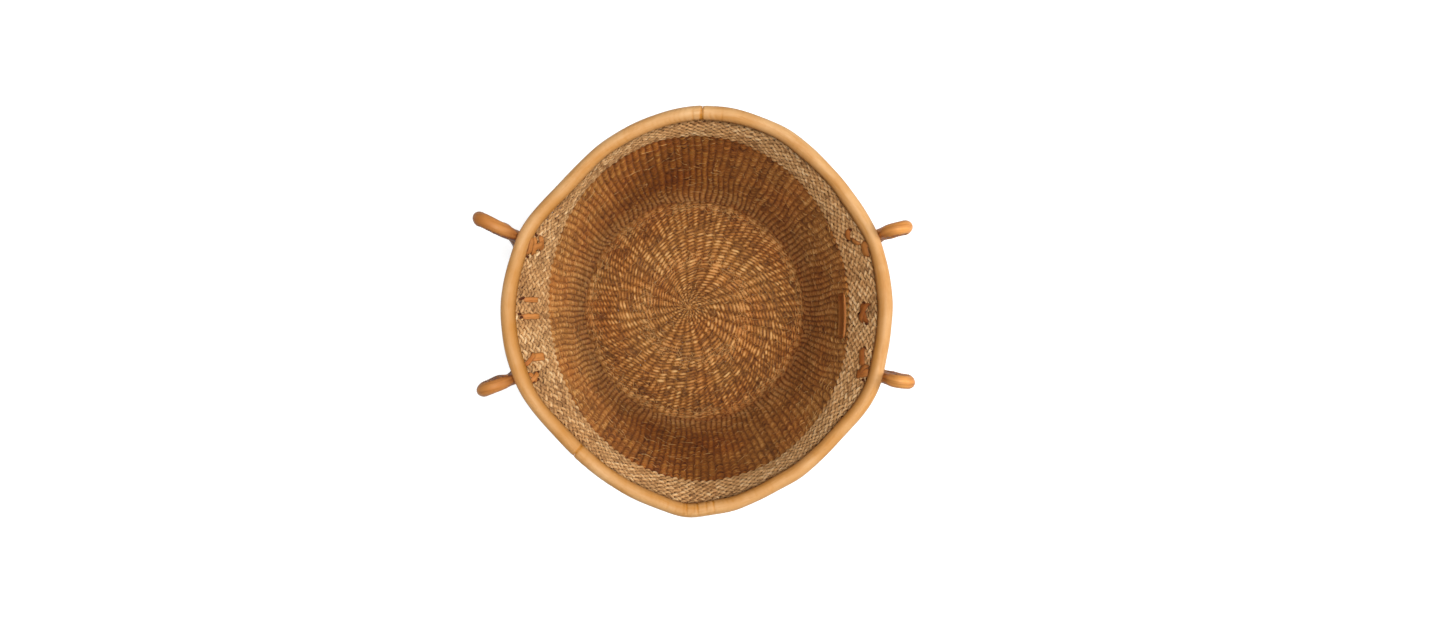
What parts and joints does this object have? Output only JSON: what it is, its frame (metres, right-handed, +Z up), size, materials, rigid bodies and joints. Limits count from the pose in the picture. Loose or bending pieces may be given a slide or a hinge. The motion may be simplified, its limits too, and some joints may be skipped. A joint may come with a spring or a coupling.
{
  "type": "market basket",
  "caption": "Twined sisal basket with a flat round base, flaring wall, pale band under a leather-bound rim and rolled leather loop handles for carrying shopping.",
  "frame": {"origin": "on the floor, below the middle of the base", "axes": "+Z up, out of the mouth; +X towards the side with the knotted tie and the patch, and across both handles; +Y along the mouth between the handles"},
  "size_m": [0.4157, 0.3873, 0.2889],
  "materials": {
    "dyed_sisal": "brown dyed sisal twine, twined, matt with a faint sheen",
    "natural_sisal": "undyed pale sisal twine, twined, matt with a faint sheen",
    "rim_leather": "smooth honey-tan leather, half matt",
    "handle_leather": "smooth tan leather, rolled and sewn, half matt",
    "thong_leather": "brown leather thong, half matt",
    "cord": "twisted sisal cord, matt"
  },
  "bodies": {
    "basket": {"base_disc": "dyed_sisal", "side_wall": "dyed_sisal", "pale_band": "natural_sisal", "rim_core": "cord", "rim_binding_left": "rim_leather", "rim_binding_right": "rim_leather", "inner_patch": "thong_leather", "tie_left": "thong_leather", "tie_right": "thong_leather", "lacing_left_back": "thong_leather", "handle_left_back_end": "handle_leather", "handle_left_back_bend": "handle_leather", "lacing_left_front": "thong_leather", "handle_left_front_end": "handle_leather", "handle_left_front_bend": "handle_leather", "lacing_right_back": "thong_leather", "handle_right_back_end": "handle_leather", "handle_right_back_bend": "handle_leather", "lacing_right_front": "thong_leather", "handle_right_front_end": "handle_leather", "handle_right_front_bend": "handle_leather"},
    "handle_left": {"handle_left_grip": "handle_leather", "handle_left_core": "cord"},
    "handle_right": {"handle_right_grip": "handle_leather", "handle_right_core": "cord"}
  },
  "joints": [
    {"name": "handle_left_swing", "type": "hinge", "parent": "basket", "child": "handle_left", "pos_m": [-0.1875, 0.006, 0.287], "axis": [0, 1, 0], "range_deg": [0, 175], "deforming": ["handle_left_back_bend", "handle_left_front_bend"]},
    {"name": "handle_right_swing", "type": "hinge", "parent": "basket", "child": "handle_right", "pos_m": [0.189, 0.005, 0.287], "axis": [0, -1, 0], "range_deg": [0, 175], "deforming": ["handle_right_back_bend", "handle_right_front_bend"]}
  ]
}
